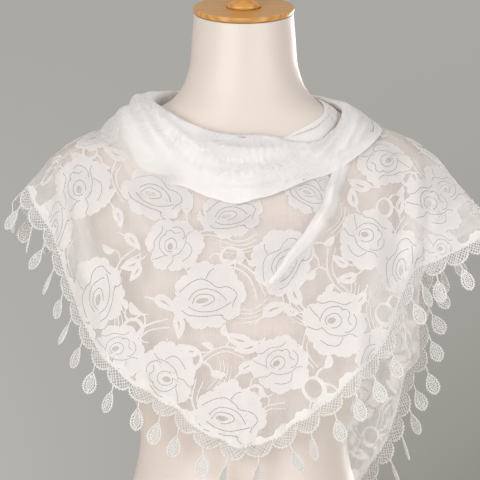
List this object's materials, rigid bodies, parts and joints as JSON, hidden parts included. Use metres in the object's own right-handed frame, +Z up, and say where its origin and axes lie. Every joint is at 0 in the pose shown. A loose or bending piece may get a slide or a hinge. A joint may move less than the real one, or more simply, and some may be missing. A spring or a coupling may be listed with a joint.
{
  "type": "lace shawl on dress form",
  "caption": "Triangular floral lace shawl with scalloped, drop-fringed trim, worn as a cowl with its point in front, on a limbless dress form.",
  "frame": {"origin": "centre of the dress form's flat base", "axes": "+Z up the form, -Y out of its chest, +X towards the viewer's right"},
  "size_m": [0.5285, 0.2486, 0.7626],
  "materials": {
    "cloth": "sheer figured lace",
    "folded_cloth": "the same lace in two layers",
    "trim": "corded lace",
    "form": "smooth satin",
    "wood": "varnished"
  },
  "bodies": {
    "root": {"form_torso": "form", "form_neck_cap": "wood", "form_finial": "wood", "shawl_front": "cloth", "shawl_cowl_front": "folded_cloth", "shawl_cowl_nape": "folded_cloth", "shawl_neck_band": "folded_cloth", "shawl_tail_right": "cloth", "shawl_tail_left": "cloth", "trim_front_left": "trim", "trim_front_right": "trim", "trim_shoulder_right": "trim", "trim_tail_right": "trim", "trim_tail_left": "trim"}
  },
  "joints": []
}
